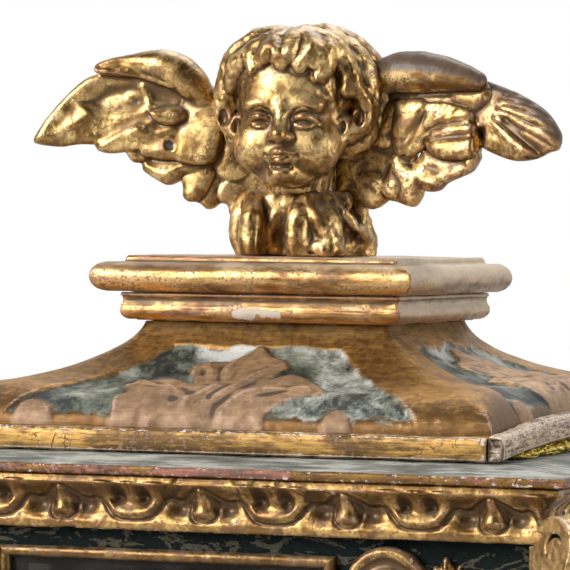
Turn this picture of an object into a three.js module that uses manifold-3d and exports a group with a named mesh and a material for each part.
// A reliquary display case of carved, gilded and marbled wood: a square case with three glazed sides and a rear door,
// standing on four bun feet, under a lift-off concave roof with a stepped plinth and a winged cherub's head.
// Millimetres. +Z is up, the front faces -Y, and the origin is on the floor under the middle of the case.
import * as THREE from "three";
import { mergeVertices } from "three/addons/utils/BufferGeometryUtils.js";
import Module from "manifold-3d";

// Clearances
const GAP = 0.3; // between fixed pieces that touch
const RUN = 0.8; // beside pieces that move
const BORE = 0.08; // round a pin that turns in its bore

// Feet and base
const FOOT_HEIGHT = 36;
const FOOT_RADIUS = 27;
const FOOT_INSET = 34; // from the base board's edge to a foot's axis
const TENON_RADIUS = 9;
const TENON_LENGTH = 9;
const BASE_HALF = 218;
const BASE_BOARD_THICK = 14;
const BASE_MOULDING_HEIGHT = 30;
const BASE_MOULDING_FOOT = 20; // how far the moulding stands out at its foot
const BASE_MOULDING_HEAD = 6;

// Walls and windows
const WALL_HALF = 196; // half the case's outside width
const WALL_THICK = 14;
const WINDOW_HALF = 93; // half the opening's width
const WINDOW_HEIGHT = 250;
const WINDOW_DROP = 14.7; // from the cornice's foot down to the opening
const WINDOW_SILL = 11.3; // from the base moulding's head up to the opening
const FRONT_WINDOW_SHIFT = -8.5; // the front window sits left of the middle
const BEAD_WIDTH = 6.5;
const BEAD_PROUD = 5; // how far a window bead stands out of its wall
const BEAD_LIP = 2.5; // how far a bead reaches over the glass
const GLASS_THICK = 2;
const FILLET_WIDTH = 6;

// Cornice and top
const CORNICE_HEIGHT = 30;
const CORNICE_FOOT_HALF = 207;
const CORNICE_HEAD_HALF = 216;
const CORNICE_COVE = 5; // depth of the cove that carries the running ornament
const CORNICE_FASCIA = 7;
const SLAB_HALF = 220;
const SLAB_EDGE = 5;
const SLAB_RISE = 4; // the top slopes up by this much from its edge to the roof's seat
const SEAT_MARGIN = 6; // flat seat outside the roof's edge

// Roof
const ROOF_HALF = 173;
const STRIP_THICK = 9;
const STRIP_HEIGHT = 13.5;
const NECK_HALF = 72.5;
const ROOF_HEIGHT = 69.5;
const EAVE_ROUND = 23; // height of the rounded eave above the edge strips
const EAVE_ROUND_WIDTH = 36;
const ROOF_WALL = 15;
const EAVE_LIFT = 9; // the right eave has bowed up by this much in its middle
const BATTEN_WIDTH = 14;
const BATTEN_HEIGHT = 8;
const PACKING_WIDTH = 16;
const PACKING_INSET = 3; // from the roof's edge to the tinsel packing
const PACKING_LENGTH = 250;

// Plinth under the finial
const PLINTH_BEAD_HALF = 84;
const PLINTH_BEAD_HEIGHT = 16;
const PLINTH_BEAD_ROUND = 7;
const PLINTH_TORUS_HALF = 94;
const PLINTH_TORUS_THICK = 17;
const PLINTH_FILLET_HALF = 81;
const PLINTH_FILLET_HEIGHT = 3.5;

// Finial
const HEAD_WIDTH = 95;
const HEAD_DEPTH = 88;
const HEAD_HEIGHT = 99;
const HEAD_FORWARD = 20; // the head's middle is this far in front of the dowel
const CHIN_HEIGHT = 33; // above the plinth
const WING_SPAN = 326;
const WING_SHOULDER = 118; // height of the wings' highest point above the plinth
const WING_FORWARD = 6;
const WING_SWEEP = 24; // how much farther forward the tips reach than the roots
const WING_ROOT = 40; // where the sweep starts
const FEATHER_WIDTH = 20;
const FEATHER_THICK = 15;
const COLLAR_HALF = 42;
const COLLAR_DEPTH = 56;
const DOWEL_RADIUS = 5;
const DOWEL_LENGTH = 32;
const DOWEL_BITE = 14; // how deep the dowel sits in the plinth
const PEG_HOLE_RADIUS = 2.8; // an old peg hole through the left wing
const PEG_HOLE_OUT = 0.242; // share of the wings' span
const PEG_HOLE_UP = 0.535; // share of the shoulder's height

// Carvings on the walls
const SCROLL_THICK = 13;
const SCROLL_BAND = 15;
const SCROLL_VOLUTE = 22;
const LEAF_WIDTH = 18; // of the leaf that springs from each scroll's top
const SCROLL_DROP = 6; // from the cornice's foot down to a scroll's top
const SCROLL_LIFT = 10; // from the base moulding's head up to a scroll's foot
const CONSOLE_WIDTH = 26;
const CONSOLE_BAND = 21;
const CONSOLE_VOLUTE = 22;
const CONSOLE_DROP = 10; // from the cornice's top down to a console's top
const CONSOLE_REACH = 318; // diagonal distance from the axis to the top volute's eye

// Rear door and its fittings
const DOOR_HALF = 120;
const DOOR_DROP = 10; // from the cornice's foot down to the door
const DOOR_THICK = 12;
const DOOR_STILE = 30;
const DOOR_PANEL_THICK = 5;
const DOOR_SILL = 4; // from the base moulding's head up to the door
const HINGE_HEIGHT = 34;
const HINGE_LEAF = 16;
const HINGE_LEAF_THICK = 1.6;
const HINGE_PIN_RADIUS = 1.6;
const HINGE_BARREL_RADIUS = 3.2;
const HINGE_INSET = 38; // from the door's top and foot to a hinge's middle
const KNOB_RADIUS = 8;
const KNOB_LENGTH = 16;
const BUTTON_LENGTH = 34;
const BUTTON_WIDTH = 10;
const BUTTON_THICK = 3;
const BUTTON_OFFSET = 9; // from the door's edge to the button's pivot
const BUTTON_PIN_RADIUS = 2;

// Inside
const FLOOR_THICK = 8;
const STEP_HALF = 52;
const STEP_HEIGHT = 34;
const PAD_HALF = 42;
const PAD_HEIGHT = 12;

// Levels, from the floor up
const BASE_BOTTOM = FOOT_HEIGHT + GAP;
const BASE_TOP = BASE_BOTTOM + BASE_BOARD_THICK;
const WALL_FOOT = BASE_TOP + GAP;
const WALL_HEIGHT = BASE_MOULDING_HEIGHT + WINDOW_SILL + WINDOW_HEIGHT + WINDOW_DROP + CORNICE_HEIGHT;
const WALL_TOP = WALL_FOOT + WALL_HEIGHT;
const SLAB_BOTTOM = WALL_TOP + GAP;
const SLAB_TOP = SLAB_BOTTOM + SLAB_EDGE + SLAB_RISE;
const CORNICE_TOP = SLAB_BOTTOM - GAP;
const CORNICE_FOOT = CORNICE_TOP - CORNICE_HEIGHT;
const ROOF_FOOT = SLAB_TOP + GAP;
const ROOF_TOP = ROOF_FOOT + ROOF_HEIGHT;
const BEAD_FOOT = ROOF_TOP + GAP;
const TORUS_FOOT = BEAD_FOOT + PLINTH_BEAD_HEIGHT + GAP;
const PLINTH_TOP = TORUS_FOOT + PLINTH_TORUS_THICK + PLINTH_FILLET_HEIGHT;
const WINDOW_TOP = CORNICE_FOOT - WINDOW_DROP;
const WINDOW_MIDDLE = WINDOW_TOP - WINDOW_HEIGHT / 2;
const DOOR_FOOT = WALL_FOOT + BASE_MOULDING_HEIGHT + DOOR_SILL;
const DOOR_HEIGHT = CORNICE_FOOT - DOOR_DROP - DOOR_FOOT;
const DOOR_MIDDLE = DOOR_FOOT + DOOR_HEIGHT / 2;

// Colours
const GILT = { color: 0xb88a3c, roughness: 0.38, metalness: 0.85 };
const WORN_GILT = { color: 0x9c6d3a, roughness: 0.55, metalness: 0.45 };
const MARBLED = { color: 0x35443f, roughness: 0.5, metalness: 0.0 };
const GREY_WOOD = { color: 0x77766c, roughness: 0.8, metalness: 0.0 };
const BARE_WOOD = { color: 0x6d4c30, roughness: 0.8, metalness: 0.0 };
const GLASS = { color: 0xcfd8d4, roughness: 0.05, metalness: 0.0, transparent: true, opacity: 0.3 };
const VELVET = { color: 0x6b1420, roughness: 0.95, metalness: 0.0 };
const TINSEL = { color: 0xd8b83a, roughness: 0.4, metalness: 0.6 };
const IRON = { color: 0x3c3835, roughness: 0.6, metalness: 0.8 };

const wasm = await Module();
wasm.setup();

// Turns a closed geometry into a solid for joining and cutting.
function solidOf(geometry) {
  const bare = geometry.clone();
  bare.deleteAttribute("normal");
  bare.deleteAttribute("uv");
  const merged = mergeVertices(bare, 1e-4);
  return new wasm.Manifold(
    new wasm.Mesh({
      numProp: 3,
      vertProperties: merged.attributes.position.array,
      triVerts: new Uint32Array(merged.index.array),
    }),
  );
}

// Turns a solid back into a geometry.
function geometryOf(solid) {
  const mesh = solid.getMesh();
  const points = new Float32Array(mesh.numVert * 3);
  for (let i = 0; i < mesh.numVert; i += 1) {
    points.set(mesh.vertProperties.subarray(i * mesh.numProp, i * mesh.numProp + 3), i * 3);
  }
  return new THREE.BufferGeometry()
    .setAttribute("position", new THREE.BufferAttribute(points, 3))
    .setIndex(new THREE.BufferAttribute(mesh.triVerts, 1));
}

// Joins the first geometries, then cuts the others away.
function carve(joined, cut = []) {
  let solid = solidOf(joined[0]);
  for (const piece of joined.slice(1)) solid = solid.add(solidOf(piece));
  for (const piece of cut) solid = solid.subtract(solidOf(piece));
  return geometryOf(solid);
}

// A box between two corners.
function box(low, high) {
  const size = high.map((value, i) => value - low[i]);
  return new THREE.BoxGeometry(...size).translate(...low.map((value, i) => value + size[i] / 2));
}

// A cylinder along an axis ("x", "y" or "z"), centred on a point.
function rod(radius, length, axis, centre, sides = 16) {
  const geometry = new THREE.CylinderGeometry(radius, radius, length, sides);
  if (axis === "z") geometry.rotateX(Math.PI / 2);
  if (axis === "x") geometry.rotateZ(Math.PI / 2);
  return geometry.translate(...centre);
}

// An egg: a sphere stretched to three radii, turned about Y and put in place.
function egg(radii, centre, tilt = 0, sides = 9, rings = 7) {
  return new THREE.SphereGeometry(1, sides, rings)
    .scale(...radii)
    .rotateY(tilt)
    .translate(...centre);
}

// A round turning about Z from [radius, height] points that start and end on the axis.
function turned(points, sides = 20) {
  return new THREE.LatheGeometry(
    points.map(([radius, height]) => new THREE.Vector2(radius, height)),
    sides,
  ).rotateX(Math.PI / 2);
}

// A square moulding about Z from [half width, height] points that start and end on the axis, or close on themselves.
function squareTurned(points) {
  return new THREE.LatheGeometry(
    points.map(([half, height]) => new THREE.Vector2(half * Math.SQRT2, height)),
    4,
    Math.PI / 4,
  ).rotateX(Math.PI / 2);
}

// Points of a circular arc in a profile, from one angle to another in degrees.
function arc(centre, radius, from, to, steps) {
  return Array.from({ length: steps + 1 }, (_, i) => {
    const angle = THREE.MathUtils.degToRad(from + ((to - from) * i) / steps);
    return [centre[0] + radius * Math.cos(angle), centre[1] + radius * Math.sin(angle)];
  });
}

// A solid of square rings, [half width, height] each from the foot up, with several steps along each side.
function squareRings(profile, steps) {
  const points = [];
  const corners = [[-1, -1], [1, -1], [1, 1], [-1, 1]];
  for (const [half, height] of profile) {
    corners.forEach(([x, y], side) => {
      const [nextX, nextY] = corners[(side + 1) % 4];
      for (let i = 0; i < steps; i += 1) {
        const t = i / steps;
        points.push(half * (x + (nextX - x) * t), half * (y + (nextY - y) * t), height);
      }
    });
  }
  const around = 4 * steps;
  const faces = [];
  for (let ring = 0; ring + 1 < profile.length; ring += 1) {
    for (let i = 0; i < around; i += 1) {
      const a = ring * around + i;
      const b = ring * around + ((i + 1) % around);
      faces.push(a, b, b + around, a, b + around, a + around);
    }
  }
  const foot = points.length / 3;
  points.push(0, 0, profile[0][1], 0, 0, profile[profile.length - 1][1]);
  const lastRing = (profile.length - 1) * around;
  for (let i = 0; i < around; i += 1) {
    const next = (i + 1) % around;
    faces.push(foot, next, i, foot + 1, lastRing + i, lastRing + next);
  }
  return new THREE.BufferGeometry()
    .setAttribute("position", new THREE.Float32BufferAttribute(points, 3))
    .setIndex(faces);
}

// Moves each point of a geometry by a function of the point.
function bend(geometry, move) {
  const place = geometry.attributes.position;
  const point = new THREE.Vector3();
  for (let i = 0; i < place.count; i += 1) {
    point.fromBufferAttribute(place, i);
    move(point);
    place.setXYZ(i, point.x, point.y, point.z);
  }
  return geometry;
}

// A rectangular frame in the XZ plane, seen from -Y: its section is [distance out from the sight edge, depth] points.
function rectangularFrame(section, sightX, sightZ) {
  const ring = squareTurned(section.map(([out, depth]) => [1 + out, depth])).rotateX(-Math.PI / 2);
  return bend(ring, (p) => {
    p.x += Math.sign(p.x) * (sightX - 1);
    p.z += Math.sign(p.z) * (sightZ - 1);
  });
}

// A length of moulding for the front, mitred at both ends, from a closed [half width, height] profile.
function mitredLength(profile) {
  const shape = new THREE.Shape(profile.map(([half, height]) => new THREE.Vector2(half, height)));
  const prism = new THREE.ExtrudeGeometry(shape, { depth: 1, bevelEnabled: false });
  return bend(prism, (p) => {
    const side = p.z < 0.5 ? 1 : -1;
    const half = p.x;
    p.set(side * (half - GAP), -half, p.y);
  });
}

// Mirrors a geometry left to right, in place.
function mirrored(geometry) {
  const order = geometry.index.array;
  for (let i = 0; i < order.length; i += 3) [order[i + 1], order[i + 2]] = [order[i + 2], order[i + 1]];
  return bend(geometry, (p) => {
    p.x = -p.x;
  });
}

const group = new THREE.Group();
const sides = {};
for (const [name, angle] of Object.entries({ front: 0, right: 90, back: 180, left: -90 })) {
  sides[name] = new THREE.Group();
  sides[name].rotation.z = THREE.MathUtils.degToRad(angle);
  group.add(sides[name]);
}

// Adds a named piece to a group.
function add(name, geometry, finish, position = [0, 0, 0], parent = group) {
  const mesh = new THREE.Mesh(geometry, new THREE.MeshStandardMaterial(finish));
  mesh.name = name;
  mesh.position.set(...position);
  parent.add(mesh);
  return mesh;
}

// Bun feet, each with a tenon in the base board
function makeFeet() {
  const waist = FOOT_RADIUS * 0.62;
  const bun = turned([
    [0, 0],
    [waist, 0],
    ...arc([waist, FOOT_HEIGHT * 0.42], FOOT_HEIGHT * 0.42, -65, 65, 5).map(([r, z]) => [
      waist + (r - waist) * ((FOOT_RADIUS - waist) / (FOOT_HEIGHT * 0.42)),
      z,
    ]),
    [waist, FOOT_HEIGHT * 0.86],
    [waist + 3, FOOT_HEIGHT],
    [TENON_RADIUS, FOOT_HEIGHT],
    [TENON_RADIUS, FOOT_HEIGHT + TENON_LENGTH],
    [0, FOOT_HEIGHT + TENON_LENGTH],
  ], 14);
  for (const [name, x, y] of feet) add(name, bun, GILT, [x, y, 0]);
}

const footPlace = BASE_HALF - FOOT_INSET;
const feet = [
  ["foot_front_left", -footPlace, -footPlace],
  ["foot_front_right", footPlace, -footPlace],
  ["foot_back_left", -footPlace, footPlace],
  ["foot_back_right", footPlace, footPlace],
];

// Base board with the feet's sockets, and the moulding that hides the walls' foot
function makeBase() {
  const board = squareTurned([
    [0, BASE_BOTTOM],
    [BASE_HALF - 3, BASE_BOTTOM],
    [BASE_HALF, BASE_BOTTOM + 3],
    [BASE_HALF, BASE_TOP - 3],
    [BASE_HALF - 3, BASE_TOP],
    [0, BASE_TOP],
  ]);
  const socketDepth = TENON_LENGTH + GAP;
  const sockets = feet.map(([, x, y]) =>
    rod(TENON_RADIUS + GAP, 2 * socketDepth, "z", [x, y, BASE_BOTTOM], 14),
  );
  add("base_board", carve([board], sockets), WORN_GILT);
  const inner = WALL_HALF + GAP;
  const foot = inner + BASE_MOULDING_FOOT;
  const head = inner + BASE_MOULDING_HEAD;
  const round = (BASE_MOULDING_HEIGHT * 0.36) / 2;
  const coveFoot = WALL_FOOT + 2 * round;
  const coveHeight = BASE_MOULDING_HEIGHT - 2 * round - 3;
  const cove = arc([foot, coveFoot + coveHeight], 1, 270, 180, 5).map(([half, z]) => [
    foot + (half - foot) * (foot - head),
    coveFoot + coveHeight + (z - coveFoot - coveHeight) * coveHeight,
  ]);
  add(
    "base_moulding",
    squareTurned([
      [inner, WALL_FOOT],
      [foot - round, WALL_FOOT],
      ...arc([foot - round, WALL_FOOT + round], round, -70, 70, 4),
      [foot - round, coveFoot],
      ...cove.slice(1),
      [head, WALL_FOOT + BASE_MOULDING_HEIGHT],
      [inner, WALL_FOOT + BASE_MOULDING_HEIGHT],
      [inner, WALL_FOOT],
    ]),
    GILT,
  );
}

// One glazed wall with its bead, pane and glazing fillet
function makeGlazedWall(side, shift, wallHalf) {
  const parent = sides[side];
  const face = -WALL_HALF;
  const opening = box(
    [shift - WINDOW_HALF, face - 1, WINDOW_TOP - WINDOW_HEIGHT],
    [shift + WINDOW_HALF, face + WALL_THICK + 1, WINDOW_TOP],
  );
  const board = box([-wallHalf, face, WALL_FOOT], [wallHalf, face + WALL_THICK, WALL_TOP]);
  add(side + "_wall", carve([board], [opening]), MARBLED, [0, 0, 0], parent);

  const sightX = WINDOW_HALF - BEAD_LIP;
  const sightZ = WINDOW_HEIGHT / 2 - BEAD_LIP;
  const middle = [shift, face - GAP, WINDOW_MIDDLE];
  const round = arc([BEAD_WIDTH / 2, -BEAD_PROUD + BEAD_WIDTH / 2], BEAD_WIDTH / 2, 180, 360, 5);
  const bead = rectangularFrame([[0, 0], ...round, [BEAD_WIDTH, 0], [0, 0]], sightX, sightZ);
  add(side + "_window_bead", bead, GILT, middle, parent);

  const glassHalf = [WINDOW_HALF - GAP, WINDOW_HEIGHT / 2 - GAP];
  const glass = box([-glassHalf[0], 0, -glassHalf[1]], [glassHalf[0], GLASS_THICK, glassHalf[1]]);
  add(side + "_glass", glass, GLASS, [shift, face, WINDOW_MIDDLE], parent);

  const depth = WALL_THICK - GLASS_THICK - GAP;
  const section = [[0, 0], [FILLET_WIDTH, 0], [FILLET_WIDTH, depth], [0, depth], [0, 0]];
  const fillet = rectangularFrame(section, glassHalf[0] - FILLET_WIDTH, glassHalf[1] - FILLET_WIDTH);
  const behindGlass = face + GLASS_THICK + GAP;
  add(side + "_glazing_fillet", fillet, BARE_WOOD, [shift, behindGlass, WINDOW_MIDDLE], parent);
}

// Rear wall with its doorway, the door, its hinges, knob and turn button
function makeRear() {
  const parent = sides.back;
  const face = -WALL_HALF;
  const doorway = box(
    [-DOOR_HALF - RUN, face - 1, DOOR_FOOT - RUN],
    [DOOR_HALF + RUN, face + WALL_THICK + 1, DOOR_FOOT + DOOR_HEIGHT + RUN],
  );
  const board = box([-WALL_HALF, face, WALL_FOOT], [WALL_HALF, face + WALL_THICK, WALL_TOP]);
  const pivot = [-DOOR_HALF - BUTTON_OFFSET, face, DOOR_MIDDLE];
  const pinLength = WALL_THICK * 0.7;
  const pinHole = rod(BUTTON_PIN_RADIUS + GAP, 2 * pinLength, "y", pivot, 12);
  add("back_wall", carve([board], [doorway, pinHole]), MARBLED, [0, 0, 0], parent);

  const inner = [DOOR_HALF - DOOR_STILE, DOOR_HEIGHT / 2 - DOOR_STILE];
  const panelFace = (DOOR_THICK - DOOR_PANEL_THICK) / 2;
  const groove = 6;
  const frame = carve(
    [box([-DOOR_HALF, 0, -DOOR_HEIGHT / 2], [DOOR_HALF, DOOR_THICK, DOOR_HEIGHT / 2])],
    [
      box([-inner[0], -1, -inner[1]], [inner[0], DOOR_THICK + 1, inner[1]]),
      box(
        [-inner[0] - groove, panelFace, -inner[1] - groove],
        [inner[0] + groove, panelFace + DOOR_PANEL_THICK, inner[1] + groove],
      ),
    ],
  );
  const middle = [0, face, DOOR_MIDDLE];
  add("door_frame", frame, MARBLED, middle, parent);
  const slack = groove - GAP;
  const panel = box(
    [-inner[0] - slack, panelFace + GAP, -inner[1] - slack],
    [inner[0] + slack, panelFace + DOOR_PANEL_THICK - GAP, inner[1] + slack],
  );
  add("door_panel", panel, BARE_WOOD, middle, parent);

  const knobNeck = KNOB_RADIUS * 0.45;
  const ball = KNOB_RADIUS - 0.5;
  const knob = turned([
    [0, 0],
    [KNOB_RADIUS * 0.7, 0],
    [knobNeck, 3],
    [knobNeck, KNOB_LENGTH - 2 * ball + 1],
    ...arc([0, KNOB_LENGTH - ball], ball, -55, 75, 4),
    [0, KNOB_LENGTH],
  ], 12).rotateX(Math.PI / 2);
  add("door_knob", knob, GILT, [-DOOR_HALF + DOOR_STILE * 0.6, face - GAP, DOOR_MIDDLE], parent);

  const buttonFoot = GAP + RUN;
  const half = BUTTON_LENGTH / 2 - BUTTON_WIDTH / 2;
  const plate = new THREE.Shape();
  plate.absarc(0, half, BUTTON_WIDTH / 2, 0, Math.PI);
  plate.absarc(0, -half, BUTTON_WIDTH / 2, Math.PI, 2 * Math.PI);
  const flat = { depth: BUTTON_THICK, bevelEnabled: false, curveSegments: 8 };
  const button = carve(
    [new THREE.ExtrudeGeometry(plate, flat).rotateX(Math.PI / 2)],
    [rod(BUTTON_PIN_RADIUS + BORE, 4 * BUTTON_THICK, "y", [0, 0, 0], 12)],
  );
  add("turn_button", button, IRON, [pivot[0], face - buttonFoot, pivot[2]], parent);
  const pinHead = BUTTON_PIN_RADIUS * 2;
  const outer = buttonFoot + BUTTON_THICK + GAP;
  const pin = turned([
    [0, -pinLength],
    [BUTTON_PIN_RADIUS, -pinLength],
    [BUTTON_PIN_RADIUS, outer],
    [pinHead, outer],
    [pinHead, outer + 1],
    [0, outer + 2],
  ], 12).rotateX(Math.PI / 2);
  add("turn_button_pin", pin, IRON, [pivot[0], face, pivot[2]], parent);

  const hingeX = DOOR_HALF + RUN / 2;
  const rise = DOOR_HEIGHT / 2 - HINGE_INSET;
  makeHinge("upper", [hingeX, face - HINGE_BARREL_RADIUS - GAP, DOOR_MIDDLE + rise], parent);
  makeHinge("lower", [hingeX, face - HINGE_BARREL_RADIUS - GAP, DOOR_MIDDLE - rise], parent);
}

// One butt hinge: the fixed leaf carries the pin and the end knuckles, the moving leaf the middle knuckle
function makeHinge(name, place, parent) {
  const third = HINGE_HEIGHT / 3;
  const back = HINGE_BARREL_RADIUS;
  const bore = HINGE_PIN_RADIUS + BORE;
  const knuckleSides = 14;
  const knuckle = (length, z) => rod(HINGE_BARREL_RADIUS, length, "z", [0, 0, z], knuckleSides);
  const leaf = (from, to) =>
    box([from, back - HINGE_LEAF_THICK, -HINGE_HEIGHT / 2], [to, back, HINGE_HEIGHT / 2]);
  const clear = HINGE_BARREL_RADIUS + GAP;
  const endLength = third - 2 * GAP;
  const leafRoot = HINGE_PIN_RADIUS / 2;
  const fixed = carve(
    [leaf(leafRoot, HINGE_LEAF), knuckle(endLength, third), knuckle(endLength, -third)],
    [rod(clear, third + GAP, "z", [0, 0, 0], knuckleSides)],
  );
  const pin = rod(HINGE_PIN_RADIUS, 2 * third, "z", [0, 0, 0], 12);
  const moving = carve(
    [leaf(-HINGE_LEAF, -leafRoot), knuckle(third - GAP, 0)],
    [
      rod(clear, third + GAP, "z", [0, 0, third + GAP], knuckleSides),
      rod(clear, third + GAP, "z", [0, 0, -third - GAP], knuckleSides),
      rod(bore, HINGE_HEIGHT, "z", [0, 0, 0], 12),
    ],
  );
  add(name + "_hinge_fixed_leaf", carve([fixed, pin]), IRON, place, parent);
  add(name + "_hinge_moving_leaf", moving, IRON, place, parent);
}

// Floor board, stepped rest and velvet pad for the relic
function makeInside() {
  const floorHalf = WALL_HALF - WALL_THICK - GAP;
  const floorTop = WALL_FOOT + FLOOR_THICK;
  add("case_floor", box([-floorHalf, -floorHalf, WALL_FOOT], [floorHalf, floorHalf, floorTop]), VELVET);
  const stepFoot = floorTop + GAP;
  const stepTop = stepFoot + STEP_HEIGHT;
  const step = squareTurned([
    [0, stepFoot],
    [STEP_HALF, stepFoot],
    [STEP_HALF, stepFoot + STEP_HEIGHT * 0.3],
    [STEP_HALF - 6, stepFoot + STEP_HEIGHT * 0.45],
    [STEP_HALF - 6, stepTop - 5],
    [STEP_HALF - 2, stepTop],
    [0, stepTop],
  ]);
  add("relic_step", step, GILT);
  const padFoot = stepTop + GAP;
  const crown = squareRings(
    [
      [PAD_HALF - 3, padFoot],
      [PAD_HALF, padFoot + PAD_HEIGHT * 0.4],
      [PAD_HALF - 4, padFoot + PAD_HEIGHT * 0.7],
      [PAD_HALF * 0.6, padFoot + PAD_HEIGHT * 0.95],
      [PAD_HALF * 0.25, padFoot + PAD_HEIGHT],
    ],
    6,
  );
  const drawIn = 4;
  const sagged = bend(crown, (p) => {
    const alongX = Math.abs(p.x) / PAD_HALF;
    const alongY = Math.abs(p.y) / PAD_HALF;
    p.x -= Math.sign(p.x) * drawIn * alongX * (1 - alongY * alongY);
    p.y -= Math.sign(p.y) * drawIn * alongY * (1 - alongX * alongX);
  });
  add("velvet_pad", sagged, VELVET);
}

// Cornice in four mitred lengths, and the top board with its sloping margin
function makeCornice() {
  const inner = WALL_HALF + GAP;
  const coveFoot = CORNICE_FOOT + CORNICE_FASCIA;
  const coveTop = CORNICE_TOP - 4;
  const cove = Array.from({ length: 6 }, (_, i) => {
    const t = i / 5;
    const half = CORNICE_FOOT_HALF + (CORNICE_HEAD_HALF - CORNICE_FOOT_HALF) * t;
    return [half - CORNICE_COVE * Math.sin(Math.PI * t), coveFoot + (coveTop - coveFoot) * t];
  });
  const profile = [
    [inner, CORNICE_FOOT],
    [CORNICE_FOOT_HALF, CORNICE_FOOT],
    ...cove,
    [CORNICE_HEAD_HALF, CORNICE_TOP],
    [inner, CORNICE_TOP],
  ];
  for (const name of Object.keys(sides)) {
    add("cornice_" + name, mitredLength(profile), GILT, [0, 0, 0], sides[name]);
  }
  const seat = ROOF_HALF + SEAT_MARGIN;
  const slab = squareTurned([
    [0, SLAB_BOTTOM],
    [SLAB_HALF, SLAB_BOTTOM],
    [SLAB_HALF, SLAB_BOTTOM + SLAB_EDGE],
    [seat, SLAB_TOP],
    [0, SLAB_TOP],
  ]);
  add("top_slab", slab, GREY_WOOD);
}

// The roof's outline from the eave to the neck, as [half width, height] points above its foot
function roofOutline() {
  const edge = ROOF_HALF - STRIP_THICK - GAP;
  const roundTop = STRIP_HEIGHT + EAVE_ROUND;
  const eave = arc([0, 0], 1, 0, 80, 5).map(([x, z]) => [
    edge - EAVE_ROUND_WIDTH * (1 - x),
    STRIP_HEIGHT + EAVE_ROUND * z,
  ]);
  const [fromHalf, fromHeight] = eave[eave.length - 1];
  const sweep = new THREE.CubicBezierCurve(
    new THREE.Vector2(fromHalf, fromHeight),
    new THREE.Vector2(fromHalf - 16, roundTop + 1.5),
    new THREE.Vector2(NECK_HALF + 7, ROOF_HEIGHT - 17),
    new THREE.Vector2(NECK_HALF, ROOF_HEIGHT),
  );
  return [...eave, ...sweep.getPoints(8).slice(1).map((p) => [p.x, p.y])];
}

// How far the bowed right eave lifts a point of the roof
function eaveLift(x, y) {
  const out = THREE.MathUtils.clamp((x - NECK_HALF) / (ROOF_HALF - NECK_HALF), 0, 1);
  return EAVE_LIFT * out * out * Math.max(0, 1 - (y / ROOF_HALF) ** 2);
}

// Hollow roof, its edge strips, the batten frame that keeps it in place and the tinsel packed under its right eave
function makeRoof() {
  const outline = roofOutline();
  const edge = outline[0][0];
  const shell = squareRings([[edge, 0], ...outline], 6);
  const pocket = squareRings(
    [
      [edge - ROOF_WALL, -1],
      [edge - ROOF_WALL, STRIP_HEIGHT],
      [NECK_HALF + ROOF_WALL, STRIP_HEIGHT + EAVE_ROUND - ROOF_WALL / 2],
      [NECK_HALF - ROOF_WALL, ROOF_HEIGHT - ROOF_WALL],
    ],
    1,
  );
  const lifted = bend(shell, (p) => {
    p.z += eaveLift(p.x, p.y);
  });
  add("roof_body", carve([lifted], [pocket]), WORN_GILT, [0, 0, ROOF_FOOT]);

  const sideLength = 2 * ROOF_HALF;
  const frontLength = 2 * (ROOF_HALF - STRIP_THICK - GAP);
  for (const name of Object.keys(sides)) {
    const alongSide = name === "left" || name === "right";
    const length = alongSide ? sideLength : frontLength;
    const round = 3;
    const section = new THREE.Shape([
      new THREE.Vector2(-ROOF_HALF, round),
      new THREE.Vector2(-ROOF_HALF + round, 0),
      new THREE.Vector2(-ROOF_HALF + STRIP_THICK, 0),
      new THREE.Vector2(-ROOF_HALF + STRIP_THICK, STRIP_HEIGHT),
      new THREE.Vector2(-ROOF_HALF + round, STRIP_HEIGHT),
      new THREE.Vector2(-ROOF_HALF, STRIP_HEIGHT - round),
    ]);
    const run = { depth: length, bevelEnabled: false, steps: name === "right" ? 12 : 1 };
    const strip = new THREE.ExtrudeGeometry(section, run);
    bend(strip, (p) => p.set(p.z - length / 2, p.x, p.y));
    if (name === "right") {
      bend(strip, (p) => {
        p.z += eaveLift(ROOF_HALF, p.x);
      });
    }
    add("roof_strip_" + name, strip, WORN_GILT, [0, 0, ROOF_FOOT], sides[name]);
  }

  const battenOuter = edge - ROOF_WALL - RUN;
  const battenFoot = SLAB_TOP + GAP;
  const frame = squareTurned([
    [battenOuter - BATTEN_WIDTH, battenFoot],
    [battenOuter, battenFoot],
    [battenOuter, battenFoot + BATTEN_HEIGHT - 2],
    [battenOuter - 2, battenFoot + BATTEN_HEIGHT],
    [battenOuter - BATTEN_WIDTH, battenFoot + BATTEN_HEIGHT],
    [battenOuter - BATTEN_WIDTH, battenFoot],
  ]);
  add("roof_locating_frame", frame, BARE_WOOD);
}

// Tinsel packed between the top board and the bowed right eave, standing on the board
function makePacking() {
  const steps = 16;
  const outer = ROOF_HALF - PACKING_INSET;
  const inner = outer - PACKING_WIDTH;
  const section = new THREE.Shape([
    new THREE.Vector2(inner, 0),
    new THREE.Vector2(outer, 0),
    new THREE.Vector2(outer, 1),
    new THREE.Vector2(inner, 1),
  ]);
  const strip = new THREE.ExtrudeGeometry(section, { depth: PACKING_LENGTH, bevelEnabled: false, steps });
  bend(strip, (p) => {
    const along = PACKING_LENGTH / 2 - p.z;
    const room = Math.min(eaveLift(inner, along), eaveLift(outer, along)) - 2 * GAP;
    p.set(p.x, along, p.y * Math.max(room, GAP));
  });
  add("tinsel_packing", strip, TINSEL, [0, 0, SLAB_TOP + GAP]);
}

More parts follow.
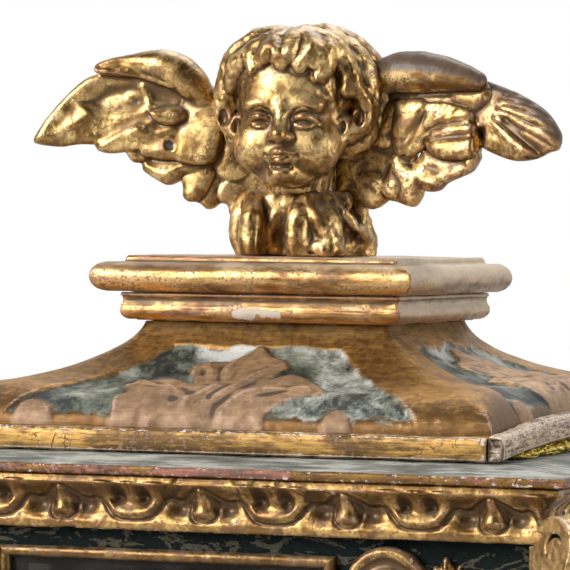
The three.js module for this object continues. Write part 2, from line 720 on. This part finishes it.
// Plinth of two moulded boards, with the dowel's hole
function makePlinth() {
  const foot = PLINTH_BEAD_HALF - PLINTH_BEAD_ROUND;
  const neck = squareTurned([
    [0, BEAD_FOOT],
    [foot, BEAD_FOOT],
    ...arc([foot, BEAD_FOOT + PLINTH_BEAD_ROUND], PLINTH_BEAD_ROUND, -75, 0, 4),
    [PLINTH_BEAD_HALF - 1, BEAD_FOOT + PLINTH_BEAD_HEIGHT],
    [0, BEAD_FOOT + PLINTH_BEAD_HEIGHT],
  ]);
  add("plinth_lower_board", neck, GILT);
  const round = PLINTH_TORUS_THICK / 2;
  const torus = arc([PLINTH_TORUS_HALF - round, TORUS_FOOT + round], round, -80, 80, 8);
  const cap = squareTurned([
    [0, TORUS_FOOT],
    [PLINTH_TORUS_HALF - round, TORUS_FOOT],
    ...torus,
    [PLINTH_FILLET_HALF, TORUS_FOOT + PLINTH_TORUS_THICK],
    [PLINTH_FILLET_HALF, PLINTH_TOP - 1],
    [PLINTH_FILLET_HALF - 1, PLINTH_TOP],
    [0, PLINTH_TOP],
  ]);
  const hole = rod(DOWEL_RADIUS + GAP, 2 * (DOWEL_BITE + GAP), "z", [0, 0, PLINTH_TOP], 14);
  add("plinth_upper_board", carve([cap], [hole]), GILT);
  const dowelMiddle = PLINTH_TOP - DOWEL_BITE + DOWEL_LENGTH / 2;
  add("finial_dowel", rod(DOWEL_RADIUS, DOWEL_LENGTH, "z", [0, 0, dowelMiddle], 14), BARE_WOOD);
}

// Head as a sphere pushed out where the face and the curls stand proud; grow widens it all round
function headGeometry(grow) {
  const ball = new THREE.SphereGeometry(1, 26, 18).rotateX(Math.PI / 2);
  const swell = (p, [x, y, z], width, height) => {
    const away = p.distanceToSquared(new THREE.Vector3(x, y, z).normalize());
    return height * Math.exp(-away / (width * width));
  };
  const middle = CHIN_HEIGHT + HEAD_HEIGHT / 2;
  bend(ball, (p) => {
    const hairline = 0.42 - 0.9 * Math.max(0, -p.y - 0.35);
    const hair = THREE.MathUtils.smoothstep(p.z + 0.9 * Math.abs(p.x) + 0.9 * p.y, hairline - 0.3, hairline);
    const curls = 0.035 * Math.sin(9 * p.x + 2) * Math.sin(8 * p.z) + 0.02 * Math.sin(14 * p.y + 5 * p.x);
    let size = 0.9 + 0.07 * hair + curls * hair;
    size += swell(p, [-0.36, -0.86, -0.42], 0.3, 0.07) + swell(p, [0.36, -0.86, -0.42], 0.3, 0.07);
    size += swell(p, [0, -0.95, -0.26], 0.11, 0.14) + swell(p, [0, -0.72, -0.8], 0.22, 0.1);
    size += swell(p, [0, -0.85, 0.4], 0.4, 0.03);
    size -= swell(p, [-0.32, -0.92, -0.02], 0.13, 0.05) + swell(p, [0.32, -0.92, -0.02], 0.13, 0.05);
    size -= swell(p, [0, -0.6, -1], 0.35, 0.03);
    p.multiplyScalar(size);
  });
  ball.scale(HEAD_WIDTH / 2 + grow, HEAD_DEPTH / 2 + grow, HEAD_HEIGHT / 2 + grow);
  return ball.translate(0, -HEAD_FORWARD, middle);
}

// Collar of drapery that carries the head, flat underneath; grow widens it all round
function collarGeometry(grow) {
  const lobe = (width, depth, height, x, y, z, tilt = 0) =>
    egg([width + grow, depth + grow, height + grow], [x, y, z], tilt);
  const tall = CHIN_HEIGHT;
  const front = -COLLAR_DEPTH * 0.42;
  const lobes = [
    lobe(COLLAR_HALF * 0.8, COLLAR_DEPTH * 0.4, tall * 0.86, 0, -4, tall * 0.3),
    lobe(12, 12, tall * 0.7, -COLLAR_HALF * 0.68, -12, tall * 0.48, -0.25),
    lobe(9, 9, tall * 0.62, -COLLAR_HALF * 0.2, front, tall * 0.36),
    lobe(9, 10, tall * 0.66, COLLAR_HALF * 0.24, front, tall * 0.38),
    lobe(14, 14, tall * 0.68, COLLAR_HALF * 0.66, -12, tall * 0.46, 0.25),
  ];
  const under = box([-COLLAR_HALF * 2, -COLLAR_DEPTH, -tall], [COLLAR_HALF * 2, COLLAR_DEPTH, GAP]);
  return carve(lobes, [under]);
}

// Feathers from the top down: the root and the tip as shares of the reach and of the shoulder's height,
// then the width and the thickness as shares of a plain feather's, and how far forward each one lies
const leftFeathers = [
  [0.33, 0.84, 0.66, 0.92, 1.25, 1.45, 3],
  [0.48, 0.87, 0.77, 0.89, 0.9, 1.0, 2],
  [0.6, 0.78, 1.0, 0.555, 1.35, 1.0, 0],
  [0.46, 0.69, 0.775, 0.52, 1.05, 0.95, 0],
  [0.36, 0.61, 0.65, 0.475, 0.95, 1.0, 1],
  [0.34, 0.48, 0.61, 0.42, 0.8, 1.0, 2],
  [0.27, 0.43, 0.45, 0.31, 0.95, 1.05, 2],
  [0.18, 0.4, 0.4, 0.25, 1.0, 1.1, 3],
  [0.25, 0.66, 0.78, 0.74, 1.8, 1.1, -2],
  [0.14, 0.46, 0.42, 0.54, 2.2, 1.3, -2],
];
const rightFeathers = [
  [0.23, 0.88, 0.71, 0.865, 1.35, 1.65, 3],
  [0.5, 0.82, 1.0, 0.56, 1.45, 1.0, 0],
  [0.6, 0.68, 0.94, 0.5, 1.1, 0.95, 0],
  [0.36, 0.64, 0.68, 0.55, 1.25, 1.0, 1],
  [0.3, 0.53, 0.67, 0.44, 1.1, 1.0, 1],
  [0.3, 0.46, 0.6, 0.365, 0.8, 1.0, 2],
  [0.2, 0.43, 0.47, 0.31, 1.1, 1.05, 2],
  [0.14, 0.38, 0.33, 0.21, 1.1, 1.1, 3],
  [0.22, 0.6, 0.62, 0.72, 2.2, 1.15, -2],
  [0.14, 0.44, 0.4, 0.56, 2.3, 1.3, -2],
];

// A wing for +X: its feathers joined, with the tips swept forward
function wingGeometry(feathers) {
  const reach = WING_SPAN / 2;
  return feathers.map(([rootX, rootZ, tipX, tipZ, width, thick, forward]) => {
    const alongX = (tipX - rootX) * reach;
    const alongZ = (tipZ - rootZ) * WING_SHOULDER;
    const half = Math.hypot(alongX, alongZ) / 2;
    const radii = [half, (FEATHER_THICK * thick) / 2, (FEATHER_WIDTH * width) / 2];
    const blade = egg(radii, [half, 0, 0], 0, 8, 6).rotateY(Math.atan2(-alongZ, alongX));
    return bend(blade.translate(rootX * reach, 0, rootZ * WING_SHOULDER), (p) => {
      const out = Math.max(0, (p.x - WING_ROOT) / (reach - WING_ROOT));
      p.y -= WING_FORWARD + WING_SWEEP * out + forward;
    });
  });
}

// Winged cherub's head on its collar
function makeFinial() {
  const foot = PLINTH_TOP + GAP;
  const dowelHole = rod(DOWEL_RADIUS + GAP, 2 * (DOWEL_LENGTH - DOWEL_BITE + GAP), "z", [0, 0, 0], 14);
  const head = carve([headGeometry(0)], [dowelHole]);
  const collar = carve([collarGeometry(0)], [headGeometry(GAP), dowelHole]);
  add("cherub_head", head, GILT, [0, 0, foot]);
  add("cherub_collar", collar, GILT, [0, 0, foot]);
  const neighbours = [headGeometry(GAP), collarGeometry(GAP)];
  const right = wingGeometry(rightFeathers);
  const left = wingGeometry(leftFeathers).map((feather) => mirrored(feather));
  const [pegX, pegZ] = [PEG_HOLE_OUT * WING_SPAN, PEG_HOLE_UP * WING_SHOULDER];
  const pegHole = rod(PEG_HOLE_RADIUS, 4 * COLLAR_DEPTH, "y", [-pegX, 0, pegZ], 10);
  add("right_wing", carve(right, neighbours), GILT, [0, 0, foot]);
  add("left_wing", carve(left, [...neighbours, pegHole]), GILT, [0, 0, foot]);
}

// A flat scroll in a plane: a band along a curve with a round volute at each end, thicker than the band
function scroll(curve, band, volute, thick, boss, extra = []) {
  const steps = 12;
  const left = [];
  const right = [];
  for (let i = 0; i <= steps; i += 1) {
    const t = i / steps;
    const p = curve.getPointAt(t);
    const along = curve.getTangentAt(t);
    const half = (band / 2) * (0.7 + 0.6 * Math.sin(Math.PI * t));
    left.push(new THREE.Vector2(p.x - along.y * half, p.y + along.x * half));
    right.unshift(new THREE.Vector2(p.x + along.y * half, p.y - along.x * half));
  }
  const flat = { depth: thick, bevelEnabled: false };
  const pieces = [new THREE.ExtrudeGeometry(new THREE.Shape([...left, ...right]), flat)];
  for (const t of [0, 1]) {
    const end = curve.getPointAt(t);
    const disc = turned([[0, 0], [volute, 0], [volute, thick], [volute * 0.62, boss], [0, boss]], 12);
    pieces.push(disc.translate(end.x, end.y, 0));
  }
  return carve([...pieces, ...extra]);
}

// Carved scrolls beside each window
function makeScrolls(side, shift) {
  const top = CORNICE_FOOT - SCROLL_DROP - SCROLL_VOLUTE;
  const foot = WALL_FOOT + BASE_MOULDING_HEIGHT + SCROLL_LIFT + SCROLL_VOLUTE;
  const beadEdge = WINDOW_HALF - BEAD_LIP + BEAD_WIDTH;
  for (const [name, hand] of [["left", -1], ["right", 1]]) {
    const near = shift * hand + beadEdge + 2 + SCROLL_VOLUTE;
    const far = WALL_HALF - 12 - SCROLL_BAND;
    const middle = (near + far) / 2;
    const curve = new THREE.CatmullRomCurve3([
      new THREE.Vector3(near, top, 0),
      new THREE.Vector3(far, top - SCROLL_VOLUTE, 0),
      new THREE.Vector3(far, top - (top - foot) * 0.34, 0),
      new THREE.Vector3(middle, (top + foot) / 2, 0),
      new THREE.Vector3(middle + 6, foot + (top - foot) * 0.3, 0),
      new THREE.Vector3(far, foot + SCROLL_VOLUTE, 0),
      new THREE.Vector3(near + 4, foot, 0),
    ]);
    const leafMiddle = [far + SCROLL_BAND / 4, top - LEAF_WIDTH * 0.8, 0];
    const leaf = egg([LEAF_WIDTH / 2, LEAF_WIDTH, SCROLL_THICK * 0.9], leafMiddle, 0, 8, 6);
    const under = box([0, 0, -SCROLL_THICK], [WALL_HALF, WALL_TOP, 0]);
    const tip = carve([leaf], [under]);
    const carving = scroll(curve, SCROLL_BAND, SCROLL_VOLUTE, SCROLL_THICK * 0.6, SCROLL_THICK, [tip]);
    carving.rotateX(Math.PI / 2);
    if (hand < 0) mirrored(carving);
    add(side + "_scroll_" + name, carving, GILT, [0, -WALL_HALF - GAP, 0], sides[side]);
  }
}

// Volute consoles that stand on the corners, from the base board up under the top board
function makeConsoles() {
  const corner = WALL_HALF * Math.SQRT2;
  const top = CORNICE_TOP - CONSOLE_DROP - CONSOLE_VOLUTE;
  const foot = BASE_TOP + GAP + CONSOLE_VOLUTE;
  const footReach = BASE_HALF * Math.SQRT2 - CONSOLE_VOLUTE - 6;
  const height = top - foot;
  const curve = new THREE.CatmullRomCurve3([
    new THREE.Vector3(CONSOLE_REACH, top, 0),
    new THREE.Vector3(CONSOLE_REACH - 4, top - CONSOLE_VOLUTE * 1.2, 0),
    new THREE.Vector3(corner + 22, top - height * 0.25, 0),
    new THREE.Vector3(corner + 6, top - height * 0.45, 0),
    new THREE.Vector3(corner + 4, foot + height * 0.3, 0),
    new THREE.Vector3(footReach, foot, 0),
  ]);
  const upright = scroll(curve, CONSOLE_BAND, CONSOLE_VOLUTE, CONSOLE_WIDTH * 0.72, CONSOLE_WIDTH * 0.86);
  const centred = upright.translate(0, 0, -CONSOLE_WIDTH * 0.36).rotateX(Math.PI / 2);
  const wall = WALL_HALF + GAP;
  const cornice = CORNICE_HEAD_HALF + GAP;
  const moulding = wall + BASE_MOULDING_FOOT + GAP;
  const mouldingTop = WALL_FOOT + BASE_MOULDING_HEIGHT + GAP;
  const cut = [
    box([-wall, -wall, 0], [wall, wall, SLAB_TOP]),
    box([-cornice, -cornice, CORNICE_FOOT - GAP], [cornice, cornice, SLAB_TOP]),
    box([-moulding, -moulding, 0], [moulding, moulding, mouldingTop]),
  ];
  const places = { front_right: -45, back_right: 45, back_left: 135, front_left: -135 };
  for (const [name, angle] of Object.entries(places)) {
    const turnedOut = centred.clone().rotateZ(THREE.MathUtils.degToRad(angle));
    add("console_" + name, carve([turnedOut], cut), GILT);
  }
}

makeFeet();
makeBase();
makeGlazedWall("front", FRONT_WINDOW_SHIFT, WALL_HALF);
makeGlazedWall("right", 0, WALL_HALF - WALL_THICK - GAP);
makeGlazedWall("left", 0, WALL_HALF - WALL_THICK - GAP);
makeRear();
makeInside();
makeCornice();
makeRoof();
makePacking();
makePlinth();
makeFinial();
makeScrolls("front", FRONT_WINDOW_SHIFT);
makeScrolls("right", 0);
makeScrolls("left", 0);
makeConsoles();

export default group;
